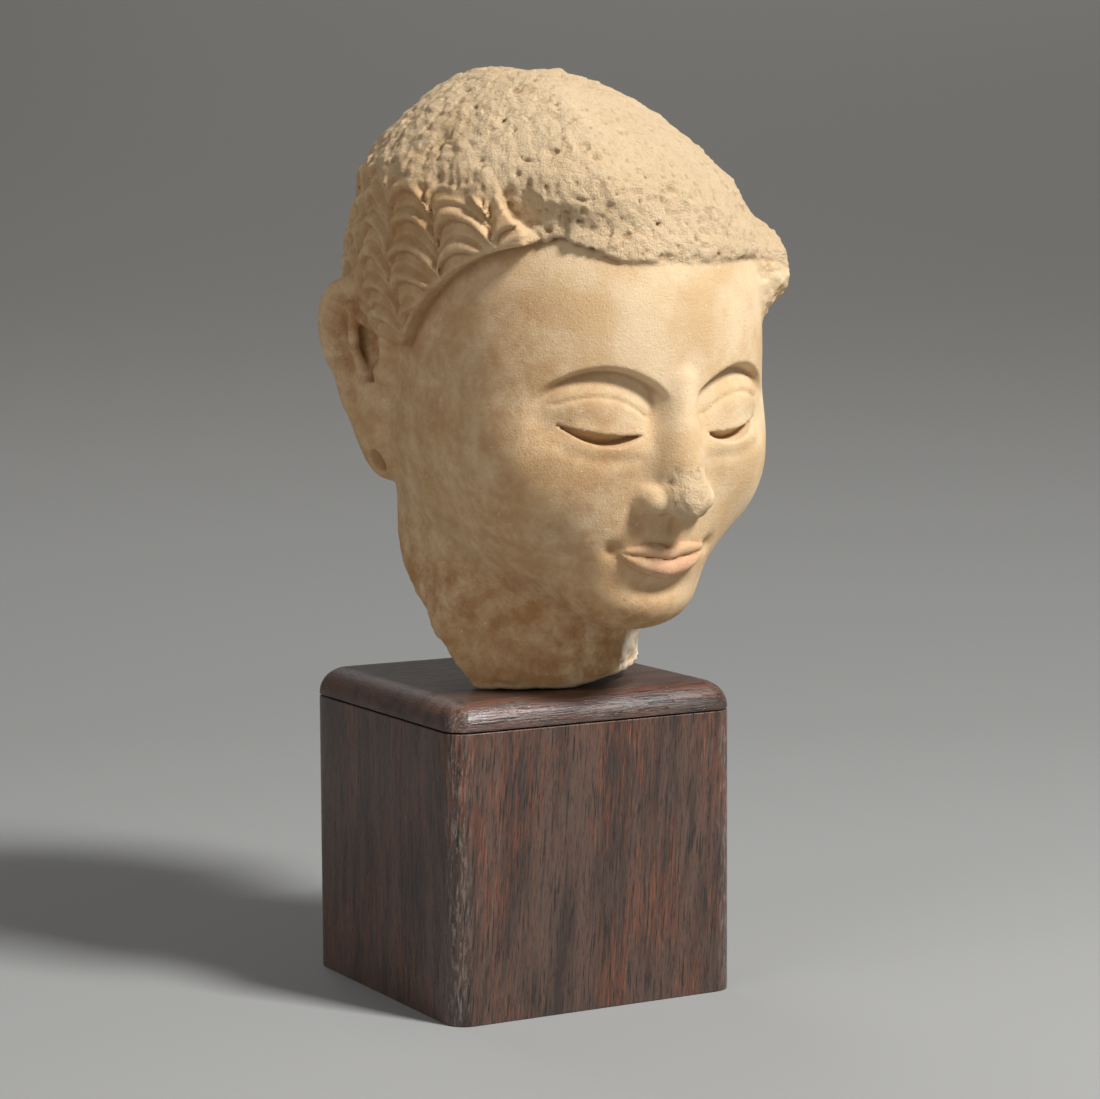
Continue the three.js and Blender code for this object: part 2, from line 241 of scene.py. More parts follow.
# the stucco head, carved from soft forms in hundredths of its own height
# X runs to the figure's left, Y to its back and Z to its crown, from a centre on the eye line
head = {
    "height": 166.0,  # millimetres, crown to chin
    "turn": math.radians(4),
    "bow": math.radians(11),
    "eyeLineRise": 0.615 * 166,
    "lead": 0.13 * 166,
    "side": 0.01 * 166,
    "restsAt": 101.3,
    "cell": 0.8,  # millimetres between the net's cells
    "grainSeed": 11,
}
part = 25.0
chinZ = -1.75 * part
noseBaseZ = chinZ + part
browZ = noseBaseZ + part
hairlineZ = browZ + part
mouthZ = noseBaseZ - part / 3
faceWidth = 69.0
eyeWidth = faceWidth / 5


def softMin(a, b, k):
    h = np.maximum(k - np.abs(a - b), 0) / k
    return np.minimum(a, b) - h * h * k / 4


def softMax(a, b, k):
    return -softMin(-a, -b, k)


def cutAway(body, tool, k):
    return softMax(body, -tool, k)


def smoothStep(low, high, value):
    t = np.clip((value - low) / (high - low), 0, 1)
    return t * t * (3 - 2 * t)


def bump(value, centre, width):
    return np.exp(-(((value - centre) / width) ** 2))


def ball(p, centre, radius):
    return np.sqrt(sum((p[i] - centre[i]) ** 2 for i in range(3))) - radius


def egg(p, centre, radii, power=2.0):
    parts = [np.abs(p[i] - centre[i]) / radii[i] for i in range(3)]
    reach = sum(q**power for q in parts) ** (1 / power) + 1e-6
    slope = np.sqrt(sum(((parts[i] / reach) ** (power - 1) / radii[i]) ** 2 for i in range(3)))
    return (reach - 1) / (slope + 1e-6)


def rod(p, a, b, ra, rb=None):
    rb = ra if rb is None else rb
    along = [b[i] - a[i] for i in range(3)]
    away = [p[i] - a[i] for i in range(3)]
    t = sum(away[i] * along[i] for i in range(3)) / sum(v * v for v in along)
    t = np.clip(t, 0, 1)
    gap = np.sqrt(sum((away[i] - along[i] * t) ** 2 for i in range(3)))
    return gap - (ra + (rb - ra) * t)


def cord(p, points, radius):
    return np.minimum.reduce([rod(p, a, b, radius) for a, b in zip(points, points[1:])])


def mirrored(p):
    return (np.abs(p[0]), p[1], p[2])


def waves(p, size):
    x, y, z = (v / size for v in p)
    broad = np.sin(1.7 * x + 2.1 * np.sin(1.3 * y + 0.4)) * np.sin(1.9 * z + 1.7 * np.sin(1.1 * x + 2.3))
    return broad + 0.5 * np.sin(3.7 * y + 1.9 * np.sin(2.9 * z)) * np.sin(3.1 * x + 1.3)


latticeSide = 64
lattice = np.random.default_rng(head["grainSeed"]).random((latticeSide,) * 3).astype(np.float32)


def latticeNoise(p, size, shift=0.0):
    # smooth random values between -1 and 1, about one blob for each size
    scaled = [v / size + shift for v in p]
    floor = [np.floor(v).astype(np.int64) for v in scaled]
    part_ = [(v - f) for v, f in zip(scaled, floor)]
    part_ = [v * v * (3 - 2 * v) for v in part_]
    total = 0
    for dx in (0, 1):
        for dy in (0, 1):
            for dz in (0, 1):
                corner = lattice[
                    (floor[0] + dx) % latticeSide,
                    (floor[1] + dy) % latticeSide,
                    (floor[2] + dz) % latticeSide,
                ]
                weight = (
                    (part_[0] if dx else 1 - part_[0])
                    * (part_[1] if dy else 1 - part_[1])
                    * (part_[2] if dz else 1 - part_[2])
                )
                total = total + corner * weight
    return 2 * total - 1


def layeredNoise(p, size, layers=3):
    total, strength = 0, 1.0
    for layer in range(layers):
        total = total + strength * latticeNoise(p, size / 2**layer, 7.3 * layer)
        strength *= 0.55
    return total


skullCentre = (0, 2, 16)
skullRadii = (35, 41, 35.4)


def skullAndJaw(p):
    m = mirrored(p)
    d = egg(p, skullCentre, skullRadii)
    d = softMin(d, egg(p, (0, -8, -5.5), (faceWidth / 2 - 1, 34, 38.5), 2.15), 7)
    d = softMin(d, egg(m, (15, -24, -13), (14, 14, 15)), 6)
    d = softMin(d, egg(p, (0, 5, -9), (31, 25, 27)), 6)
    d = softMin(d, egg(p, (0, -30, -26), (15, 11.8, 14)), 7)
    return softMin(d, egg(p, (0, -30.5, -36), (12, 11, 7.6)), 6)


def aroundFace(p):
    return np.abs(np.arctan2(p[0], -p[1] - 8)) * faceWidth * 0.5


eyes = {
    "centre": (eyeWidth + 0.6, -26.6, -1.6),
    "radii": (12.6, 11.2, 9.2),
    "turnOut": 0.34,  # how far the eye follows the face back, for each unit out
    "lid": 0.75,
    "socketDepth": 2.9,
}


def withEyes(body, p):
    m = mirrored(p)
    around = aroundFace(p)
    arch = browZ + 2 - 4.6 * ((around - 15) / 12) ** 2
    underBrow = arch - p[2]
    inward = smoothStep(2.4, 6, around) * (1 - smoothStep(23, 31, around))
    hollow = smoothStep(0, 2, underBrow) * (1 - smoothStep(5, 15, underBrow)) * inward
    d = body + np.where(p[1] < 0, eyes["socketDepth"] * hollow, 0)
    centre, radii = eyes["centre"], eyes["radii"]
    turned = (m[0], m[1] - eyes["turnOut"] * (m[0] - centre[0]), m[2])
    eyeball = egg(turned, centre, radii)
    d = softMin(d, eyeball - eyes["lid"], 1.6)
    across = (m[0] - centre[0]) / (eyeWidth * 0.56)
    reach = np.clip(1 - across**2, 0, 1)
    rise = centre[2] + 0.5 * across
    upperLid = rise - 2.2 - 0.5 * reach
    lowerLid = rise - 2.2 - 2.7 * reach
    opening = np.maximum(np.maximum(m[2] - upperLid, lowerLid - m[2]), (np.abs(across) - 1) * 6)
    d = cutAway(d, np.maximum(opening, eyeball - 3), 0.3)
    d = softMin(d, eyeball, 0.3)
    # the fold above the lid and the soft bag below it
    span = smoothStep(1.25, 0.95, np.abs(across)) * (p[1] < 0)
    fold = bump(m[2], rise + 1.2 + 2.6 * reach, 0.42) * span
    bag = bump(m[2], rise - 6.2 - 1.2 * reach, 1.1) * span
    return d + 0.38 * fold + 0.22 * bag


def rubbedNose(p):
    # worn rough along the ridge and the tip
    side = smoothStep(3.4, 2.2, np.abs(p[0] + 0.8 + 0.8 * latticeNoise(p, 3)))
    return side * smoothStep(-8, -10, p[2] + latticeNoise(p, 3)) * smoothStep(-19, -17, p[2]) * (p[1] < -43)


def withNose(body, p):
    m = mirrored(p)
    nose = rod(p, (0, -40.2, browZ - 1), (0, -45, noseBaseZ + 5), 2.3, 3.7)
    nose = softMin(nose, egg(p, (0, -39, noseBaseZ + 8), (6.4, 6.4, 11)), 3)
    nose = softMin(nose, ball(p, (0, -46.4, noseBaseZ + 3.6), 4), 2.4)
    nose = softMin(nose, egg(m, (4.9, -42, noseBaseZ + 2.9), (3.1, 4, 3)), 1.2)
    nose = softMax(nose, noseBaseZ - 0.2 - p[2], 1.2)
    d = softMin(body, nose, 2)
    d = cutAway(d, egg(m, (2.6, -44.6, noseBaseZ - 0.4), (1.3, 2.4, 1.6)), 0.6)
    return d + rubbedNose(p) * (0.45 + 0.4 * layeredNoise(p, 3, 3))


mouth = {"reach": 10.6, "upper": (2.8, 1.3), "lower": (3.7, 1.9)}  # heights and swells of the lips


def withMouth(body, p):
    around = aroundFace(p)
    u = np.minimum(around / mouth["reach"], 1)
    parting = mouthZ + 0.9 * u * u - 0.4 * bump(around, 0, 1.8)
    bow = mouth["upper"][0] * (1 - u**2.4) - 0.5 * bump(around, 0, 1.6)
    full = mouth["lower"][0] * (1 - u**2.2)
    over = np.clip((p[2] - parting) / np.maximum(bow, 0.2), 0, 1)
    under = np.clip((parting - p[2]) / np.maximum(full, 0.2), 0, 1)
    swell = mouth["upper"][1] * np.sqrt(4 * over * (1 - over)) * (1 - u**3)
    swell = swell + mouth["lower"][1] * np.sqrt(4 * under * (1 - under)) * (1 - u**3)
    philtrum = bump(around, 0, 1.4) * bump(p[2], mouthZ + 5.6, 2.2)
    corners = bump(around, mouth["reach"] + 0.6, 1.7) * bump(p[2], mouthZ + 1, 1.6)
    chinHollow = bump(around, 0, 7) * bump(p[2], mouthZ - 6.4, 2.4)
    relief = -swell + 0.7 * philtrum + 1.1 * corners + 1.3 * chinHollow
    return body + np.where(p[1] < 0, relief, 0)


ears = {
    "centre": (13.4, 2.6),  # back and up
    "reach": (7.6, 10),
    "rim": 1.5,
    "lean": 0.17,  # out, for each unit up
    "flare": 0.26,  # out, for each unit back
}


def besideEar(p):
    out = np.abs(p[0]) - ears["lean"] * (p[2] - 8) - ears["flare"] * (p[1] - ears["centre"][0])
    return (out, p[1], p[2])


def earBowl(m):
    middle, height = ears["centre"]
    return egg(m, (40.2, middle - 0.5, height - 0.4), (6.4, 5.8, 8.4))


def withEars(body, p):
    middle, height = ears["centre"]
    m = besideEar(p)
    d = softMin(body, egg(m, (34.6, middle, height), (4.4, 8.4, 12.2), 2.4), 1.6)
    d = softMin(d, egg(m, (34.8, 11.5, -14.5), (4.4, 5.6, 10.5)), 2)
    rim = []
    for step in range(15):
        angle = math.radians(205 - 18.5 * step)
        back = math.cos(angle)
        rise = height + ears["reach"][1] * math.sin(angle)
        rim.append((37.9 + 0.4 * back, middle + ears["reach"][0] * back, rise))
    rim += [(37.8, 16.6, -11), (37, 13.6, -17)]
    d = softMin(d, cord(m, rim, ears["rim"]), 1.4)
    d = cutAway(d, earBowl(m), 0.7)
    d = softMin(d, cord(m, [(36.6, 15.6, 7), (36.8, 15.8, 0), (36.2, 13.4, -6)], 1), 1.2)
    d = cutAway(d, egg(m, (36, 10.6, -2.6), (5, 2.3, 3)), 0.8)
    d = softMin(d, ball(m, (37, 7.4, -3.4), 2), 1.6)
    return cutAway(d, egg(m, (39, 10.2, -21), (4.4, 1.3, 2.4)), 0.6)


hair = {
    "rise": 4.2,
    "edge": (4.5, 29.7),  # height before the ears, and over the forehead
    "templeAt": 1.33,  # radians round the head where the edge is lowest
    "rows": 5.3,
    "firstRow": 24.0,
    "columns": 0.335,  # radians round the head
    "firstColumn": 0.795,
    "lean": 0.011,  # radians that a column leans back for each unit up
    "arch": 1.0,  # rise of a lock's arch, in rows
    "depth": 1.45,
    "locksEnd": 34.5,  # above this they are worn away
}


def aroundHair(p):
    return np.arctan2(p[0], -p[1] + 6)


def hairEdge(p):
    around = aroundHair(p)
    low, high = hair["edge"]
    edge = high - (high - low) * np.minimum(np.abs(around) / hair["templeAt"], 1) ** 4
    edge = edge - 2.8 * smoothStep(-0.6, -0.25, around) * smoothStep(1, 0.7, around)
    return edge - 12 * smoothStep(1.9, 2.4, np.abs(around))


def lockRelief(p):
    around = np.abs(aroundHair(p)) - hair["lean"] * (p[2] - hair["firstRow"])
    around = (around - hair["firstColumn"]) / hair["columns"] + 0.12 * latticeNoise(p, 9)
    column = np.floor(around)
    across = 2 * (around - column) - 1
    shift = 0.3 * np.sin(math.pi / 2 * column) + 0.12 * latticeNoise(p, 8, 3.1)
    arch = hair["arch"] * (1 - np.sqrt(1 - 0.97 * across**2))
    rise = (p[2] - hair["firstRow"]) / hair["rows"] + arch + shift
    phase = rise - np.floor(rise)
    rim = smoothStep(0.02, 0.2, phase) * (1 - 0.85 * smoothStep(0.3, 0.62, phase))
    inner = 0.3 * bump(phase, 0.74, 0.1)
    seam = 0.35 * smoothStep(0.78, 1, np.abs(across))
    return hair["depth"] * (1.1 * rim + inner - seam - 0.35)


def hairLoss(p):
    frontAndTop = p[0] * 0.62 - p[1] * 0.42 + p[2] * 0.66
    frontAndTop = frontAndTop + 1.1 * waves(p, 7) + 1.3 * latticeNoise(p, 3.5)
    kept = bump(aroundHair(p), 1.02, 0.3) * bump(p[2], 16, 9)
    return smoothStep(13, 15.2, frontAndTop) * (1 - kept)


def crumbling(p):
    # broken plaster: lumps, grit and pits
    grit = latticeNoise(p, 2.2, 5.7) + latticeNoise(p, 1.1, 2.2)
    pits = smoothStep(0.5, 0.85, latticeNoise(p, 2.6, 9.1)) + smoothStep(0.5, 0.8, latticeNoise(p, 1.3, 1.6))
    return 0.65 * layeredNoise(p, 9, 2) + 0.36 * grit - 0.55 * pits


def withHair(body, p):
    loss = hairLoss(p)
    edge = hairEdge(p)
    worn = np.maximum(loss, smoothStep(-1, 1.2, p[2] - hair["locksEnd"] + 1.6 * latticeNoise(p, 5)))
    crumble = crumbling(p)
    crown = smoothStep(31, 41, p[2])
    lost = 0.85 * loss * (1 - crown) + 0.5 * crown * smoothStep(-16, 4, p[0])
    fuller = 2.6 * smoothStep(-4, -18, p[0]) * smoothStep(24, 38, p[2])
    d = egg(p, skullCentre, skullRadii) - hair["rise"] * (1 - lost) - fuller
    d = d - (1 - worn) * lockRelief(p) * smoothStep(0, 2.0, p[2] - edge)
    d = softMax(d, 0.8 * (edge - p[2]) + 0.6 * loss * latticeNoise(p, 2.5), 0.9)
    lump = egg(p, (26.8, -19.4, 22), (8.6, 9, 8.6))
    d = softMin(softMin(body, d, 0.5), lump, 4)
    brokenTop = 0.4 * p[0] - 0.31 * p[1] + 0.86 * p[2] - 48 + 0.8 * waves(p, 9)
    d = softMax(d, brokenTop, 5)
    d = softMin(d, egg(p, (-4, 6, 49.6), (8.5, 8.5, 4.8)) + 0.5 * waves(p, 4), 1.4)
    rough = np.maximum(worn * smoothStep(-1.2, 1.4, p[2] - edge + latticeNoise(p, 4)), smoothStep(3, 0, lump))
    return d - rough * (0.85 * crumble - 0.1)


def freshBreak(p):
    ragged = 2.2 * layeredNoise(p, 5, 3)
    return smoothStep(0, 1.5, p[0] - 6 + ragged) * smoothStep(0, 1.5, -47.5 - p[2] + ragged) * (p[1] < 6)


def withNeck(body, p):
    d = softMin(body, rod(p, (-1, 5, -25), (-2, -2, -75), 25.5, 22.5), 4)
    d = d + freshBreak(p) * (0.6 - 1.1 * crumbling(p))
    # strokes dragged round under the jaw while the stucco was wet
    under = bump(p[2], -46, 6) * (p[1] < 8)
    strokes = np.sin(1.9 * (p[2] + 0.45 * p[1]) + 1.2 * latticeNoise(p, 12))
    d = d + 0.16 * under * strokes * (0.6 + 0.4 * latticeNoise(p, 6, 4.4))
    lime = smoothStep(0.35, 0.8, latticeNoise(p, 3.2, 8.8)) * smoothStep(-2, -12, p[0]) * smoothStep(-44, -50, p[2])
    return d - 0.7 * lime


def headPose():
    turn, bow = head["turn"], head["bow"]
    share = head["height"] / 100
    turned = Matrix.Rotation(turn, 4, "Z") @ Matrix.Rotation(bow, 4, "X")
    place = Vector(
        (
            head["lead"] * math.sin(turn) + head["side"] * math.cos(turn),
            head["side"] * math.sin(turn) - head["lead"] * math.cos(turn),
            head["restsAt"] + head["eyeLineRise"],
        )
    )
    return Matrix.Translation(place) @ turned @ Matrix.Scale(share, 4)


pose = headPose()
partToHead = pose.inverted()
upright = (partToHead.to_3x3() @ Vector((0, 0, 1))).normalized()
seat = partToHead @ Vector((pose.translation.x, pose.translation.y, head["restsAt"]))


def withBreaks(body, p):
    rough = 0.5 * waves(p, 6) + 0.7 * crumbling(p)
    d = softMax(body, 0.86 * p[1] + 0.51 * p[2] - 48 + rough, 9)
    d = softMax(d, p[1] - 37 + rough, 6)
    nape = 0.5 * p[1] - 0.45 * p[0] - 0.7 * p[2] - 45 + rough
    d = softMax(d, nape, 1.5)
    overSeat = sum((p[i] - seat[i]) * upright[i] for i in range(3))
    lifted = overSeat - 0.16 * np.maximum(p[0] - p[1] * 0.4 - 4, 0) + 0.4 * rough
    d = softMax(d, -lifted, 0.6)
    return np.maximum(d, -overSeat)


def headDistance(p):
    d = skullAndJaw(p)
    for carve in (withEyes, withNose, withMouth, withEars, withHair, withNeck, withBreaks):
        d = carve(d, p)
    return d


def inChunks(points, work, size=150000):
    parts = [work(tuple(points[i : i + size].T)) for i in range(0, len(points), size)]
    return np.concatenate(parts)


def gridDistances(low, counts, cell, toLocal):
    # full detail only near the surface: coarse blocks far from it keep the coarse value
    block = 6
    coarse = [int(math.ceil(c / block)) + 1 for c in counts]
    index = np.stack(np.meshgrid(*[np.arange(c) for c in coarse], indexing="ij"), -1).reshape(-1, 3)
    values = inChunks(toLocal(low + index * block * cell), headDistance).reshape(coarse)
    share = head["height"] / 100
    margin = block * cell * 1.3 / share + 2.5
    near = np.abs(values) < margin
    near = near[:-1, :-1, :-1] | near[1:, 1:, 1:] | near[1:, :-1, :-1] | near[:-1, 1:, :-1] | near[:-1, :-1, 1:]
    full = np.repeat(np.repeat(np.repeat(values, block, 0), block, 1), block, 2)
    full = full[: counts[0], : counts[1], : counts[2]].astype(np.float32)
    mask = np.repeat(np.repeat(np.repeat(near, block, 0), block, 1), block, 2)
    mask = np.pad(mask, [(0, max(0, full.shape[i] - mask.shape[i])) for i in range(3)])
    mask = mask[: counts[0], : counts[1], : counts[2]]
    picked = np.argwhere(mask)
    full[mask] = inChunks(toLocal(low + picked * cell), headDistance)
    return full


def netOverSurface(values, low, cell):
    inside = values < 0
    counts = values.shape
    total = np.zeros(tuple(c - 1 for c in counts) + (3,), np.float32)
    hits = np.zeros(tuple(c - 1 for c in counts), np.int32)
    corners = [(i, j, k) for i in (0, 1) for j in (0, 1) for k in (0, 1)]

    def slab(array, offset):
        return array[
            offset[0] : counts[0] - 1 + offset[0],
            offset[1] : counts[1] - 1 + offset[1],
            offset[2] : counts[2] - 1 + offset[2],
        ]

    for a in corners:
        for axis in range(3):
            if a[axis]:
                continue
            b = tuple(a[i] + (i == axis) for i in range(3))
            first, second = slab(values, a), slab(values, b)
            crossing = slab(inside, a) != slab(inside, b)
            t = np.where(crossing, first / np.where(crossing, first - second, 1), 0)
            for i in range(3):
                total[..., i] += np.where(crossing, a[i] + (t if i == axis else 0), 0)
            hits += crossing
    used = hits > 0
    number = np.full(used.shape, -1, np.int64)
    number[used] = np.arange(used.sum())
    points = low + (np.argwhere(used) + total[used] / hits[used][:, None]) * cell
    quads = []
    for axis in range(3):
        u, v = (axis + 1) % 3, (axis + 2) % 3
        step = np.eye(3, dtype=int)[axis]
        ahead = tuple(slice(step[i], None) for i in range(3))
        behind = tuple(slice(None, -1) if step[i] else slice(None) for i in range(3))
        crossing = inside[behind] != inside[ahead]
        where = np.argwhere(crossing)
        leaving = inside[behind][crossing]
        ok = (where[:, u] > 0) & (where[:, v] > 0)
        ok &= (where[:, u] < counts[u] - 1) & (where[:, v] < counts[v] - 1)
        where, leaving = where[ok], leaving[ok]
        du, dv = np.eye(3, dtype=int)[u], np.eye(3, dtype=int)[v]
        ring = [where - du - dv, where - dv, where, where - du]
        quad = np.stack([number[tuple(cell_.T)] for cell_ in ring], 1)
        quad[~leaving] = quad[~leaving][:, ::-1]
        quads.append(quad)
    return points, np.concatenate(quads)


def gradientOf(local, step=0.12):
    base = inChunks(local, headDistance)
    slopes = [inChunks(local + step * np.eye(3)[i], headDistance) - base for i in range(3)]
    return base, np.stack(slopes, 1) / step


def ontoSurface(points, toLocal, toPart, rounds=2):
    local = toLocal(points)
    for _ in range(rounds):
        value, slope = gradientOf(local)
        move = value[:, None] * slope / np.maximum((slope**2).sum(1), 0.3)[:, None]
        size = np.linalg.norm(move, axis=1, keepdims=True)
        local = local - move * np.minimum(1, 0.25 / np.maximum(size, 1e-9))
    return toPart(local), local


def addMask(mesh, name, values):
    layer = mesh.attributes.new(name, "FLOAT", "POINT")
    layer.data.foreach_set("value", np.asarray(values, np.float32))


def headMasks(mesh, local, faces):
    p = tuple(local.T)
    loss = hairLoss(p)
    overHair = smoothStep(-1.5, 0.8, p[2] - hairEdge(p))
    nape = 0.5 * p[1] - 0.45 * p[0] - 0.7 * p[2] - 45
    overSeat = sum((p[i] - seat[i]) * upright[i] for i in range(3))
    broken = np.maximum.reduce(
        [
            loss * overHair,
            0.8 * rubbedNose(p),
            0.7 * smoothStep(-1, 1.2, p[2] - hair["locksEnd"]),
            smoothStep(-1.5, 0.5, nape),
            smoothStep(1.5, 0.2, overSeat - 0.16 * np.maximum(p[0] - p[1] * 0.4 - 4, 0)),
            smoothStep(31, 35, p[1] + 0.5 * waves(p, 6)),
        ]
    )
    addMask(mesh, "broken", broken)
    around = aroundFace(p)
    lips = bump(around, 0, 6.5) * smoothStep(mouthZ - 4.4, mouthZ - 3, p[2])
    lips = lips * smoothStep(mouthZ + 3.6, mouthZ + 2.6, p[2]) * (p[1] < -30)
    mark = bump(np.hypot(p[0], p[2] - browZ - 2), 0, 2.4) * (p[1] < -30)
    addMask(mesh, "blush", np.maximum(lips, 0.5 * mark))
    # painted shade: darker towards the figure's right side and lower down on the jaw and neck, and in the ears'
    # bowls, less on the breaks
    shaded = smoothStep(6, -26, p[0] + 0.5 * p[2] + 6 * latticeNoise(p, 14))
    under = smoothStep(-30, -46, p[2])
    inEar = smoothStep(1.2, -0.6, earBowl(besideEar(p)))
    addMask(mesh, "paintedShade", np.clip(0.65 * shaded + 0.5 * under + inEar, 0, 1) * (1 - 0.6 * broken))
    addMask(mesh, "fresh", freshBreak(p))
    # hollows: where a point lies deeper than its neighbours, for painted shade in the stucco's hollows
    normals = np.empty(len(local) * 3, np.float32)
    mesh.vertices.foreach_get("normal", normals)
    normals = normals.reshape(-1, 3)
    places = np.empty(len(local) * 3, np.float32)
    mesh.vertices.foreach_get("co", places)
    places = places.reshape(-1, 3) / millimetre
    links = np.concatenate([faces[:, [i, (i + 1) % 4]] for i in range(4)])

    def eased(values):
        total = np.zeros_like(values)
        count = np.zeros(len(values))
        np.add.at(total, links[:, 0], values[links[:, 1]])
        np.add.at(total, links[:, 1], values[links[:, 0]])
        np.add.at(count, links.ravel(), 1)
        return total / np.maximum(count, 1).reshape((-1,) + (1,) * (values.ndim - 1))

    smooth = places
    for _ in range(6):
        smooth = eased(smooth)
    depth = ((smooth - places) * normals).sum(1)
    addMask(mesh, "hollow", depth)


def makeHead():
    toPartMatrix = np.array(pose)
    toLocalMatrix = np.array(partToHead)

    def toLocal(points):
        return points @ toLocalMatrix[:3, :3].T + toLocalMatrix[:3, 3]

    def toPart(points):
        return points @ toPartMatrix[:3, :3].T + toPartMatrix[:3, 3]

    cell = head["cell"] * 1
    low, high = (np.array(corner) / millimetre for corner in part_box("head"))
    low = low - 4 * cell
    counts = [int(c) for c in np.ceil((high + 4 * cell - low) / cell)]
    values = gridDistances(low, counts, cell, toLocal)
    print("head net worked out", counts)
    points, faces = netOverSurface(values, low, cell)
    points, local = ontoSurface(points, toLocal, toPart)
    mesh = bpy.data.meshes.new("stuccoHead")
    mesh.from_pydata((points * millimetre).tolist(), [], faces.tolist())
    mesh.validate()
    mesh.shade_smooth()
    made = bpy.data.objects.new("stuccoHead", mesh)
    bpy.context.collection.objects.link(made)
    headMasks(mesh, local, faces)
    print("head carved", len(points), "points", len(faces), "faces")
    return made


# stucco
stucco = {
    "buff": (0.62, 0.42, 0.225, 1),
    "cream": (0.74, 0.56, 0.35, 1),
    "brown": (0.41, 0.215, 0.088, 1),
    "dirtAndHollowShade": (0.12, 0.07, 0.035, 1),
    "white": (0.8, 0.72, 0.58, 1),
    "blush": (0.62, 0.27, 0.19, 1),
}


def stuccoMaterial():
    material = bpy.data.materials.new("stucco")
    material.use_nodes = True
    tree = material.node_tree
    shader = tree.nodes["Principled BSDF"]
    place = addNode(tree, "ShaderNodeTexCoord").outputs["Object"]

    def mask(name):
        return addNode(tree, "ShaderNodeAttribute", {"attribute_name": name}).outputs["Fac"]

    broken, hollow = mask("broken"), mask("hollow")
    mottle = noiseOf(tree, place, 24, 4, 0.6)
    stain = noiseOf(tree, place, 7, 6, 0.7)
    grain = noiseOf(tree, place, 0.7, 4, 0.75)
    colour = blendColours(tree, remap(tree, mottle, 0.36, 0.66), stucco["buff"], stucco["cream"])
    colour = blendColours(tree, calc(tree, "MULTIPLY", broken, 0.75), colour, stucco["cream"])
    # painted shade, laid on in brown where the mask says
    paintedShade = calc(tree, "MULTIPLY", mask("paintedShade"), remap(tree, stain, 0.3, 0.68, 0.25, 1.0))
    colour = blendColours(tree, paintedShade, colour, stucco["brown"])
    fresh = calc(tree, "MULTIPLY", mask("fresh"), remap(tree, stain, 0.35, 0.6, 0.3, 0.85))
    colour = blendColours(tree, fresh, colour, stucco["white"])
    blush = calc(tree, "MULTIPLY", mask("blush"), remap(tree, stain, 0.38, 0.62, 0.1, 0.6))
    colour = blendColours(tree, blush, colour, stucco["blush"])
    # painted shade: brown laid into the hollows
    dirtAndHollowShade = remap(tree, hollow, 0.05, 0.5, 0, 0.55)
    colour = blendColours(tree, dirtAndHollowShade, colour, stucco["brown"])
    coarse = noiseOf(tree, place, 2.4, 5, 0.75)
    pocks = calc(tree, "MULTIPLY", remap(tree, coarse, 0.44, 0.3), remap(tree, broken, 0, 1, 0.1, 0.5))
    colour = blendColours(tree, pocks, colour, stucco["brown"])
    pepper = remap(tree, grain, 0.4, 0.24, 0, 0.6)
    colour = blendColours(tree, pepper, colour, stucco["dirtAndHollowShade"])
    salt = remap(tree, noiseOf(tree, place, 1.5, 2, 0.6), 0.68, 0.78, 0, 0.6)
    colour = blendColours(tree, salt, colour, stucco["white"])
    tree.links.new(colour, shader.inputs["Base Color"])
    shader.inputs["Roughness"].default_value = 0.92
    shader.inputs["Specular IOR Level"].default_value = 0.25
    height = calc(tree, "MULTIPLY", grain, remap(tree, broken, 0, 1, 0.35, 0.8))
    crumbs = calc(tree, "MULTIPLY", coarse, remap(tree, broken, 0, 1, 0.25, 2.2))
    height = calc(tree, "ADD", height, crumbs)
    bumpNode = addNode(tree, "ShaderNodeBump", None, {"Height": height, "Strength": 0.9})
    bumpNode.inputs["Distance"].default_value = 0.001
    tree.links.new(bumpNode.outputs["Normal"], shader.inputs["Normal"])
    return material


# the plinth: one rounded block tree for the body and its cap
block = {
    "side": 0.102,
    "cornerRadius": 0.007,
    "roundedCornerTop": 0.0014,
    "bodyTop": 0.0915,
    "capBase": 0.0918,
    "capTop": 0.101,
    "edgeRound": 0.0086,
    "ease": 0.0004,
}


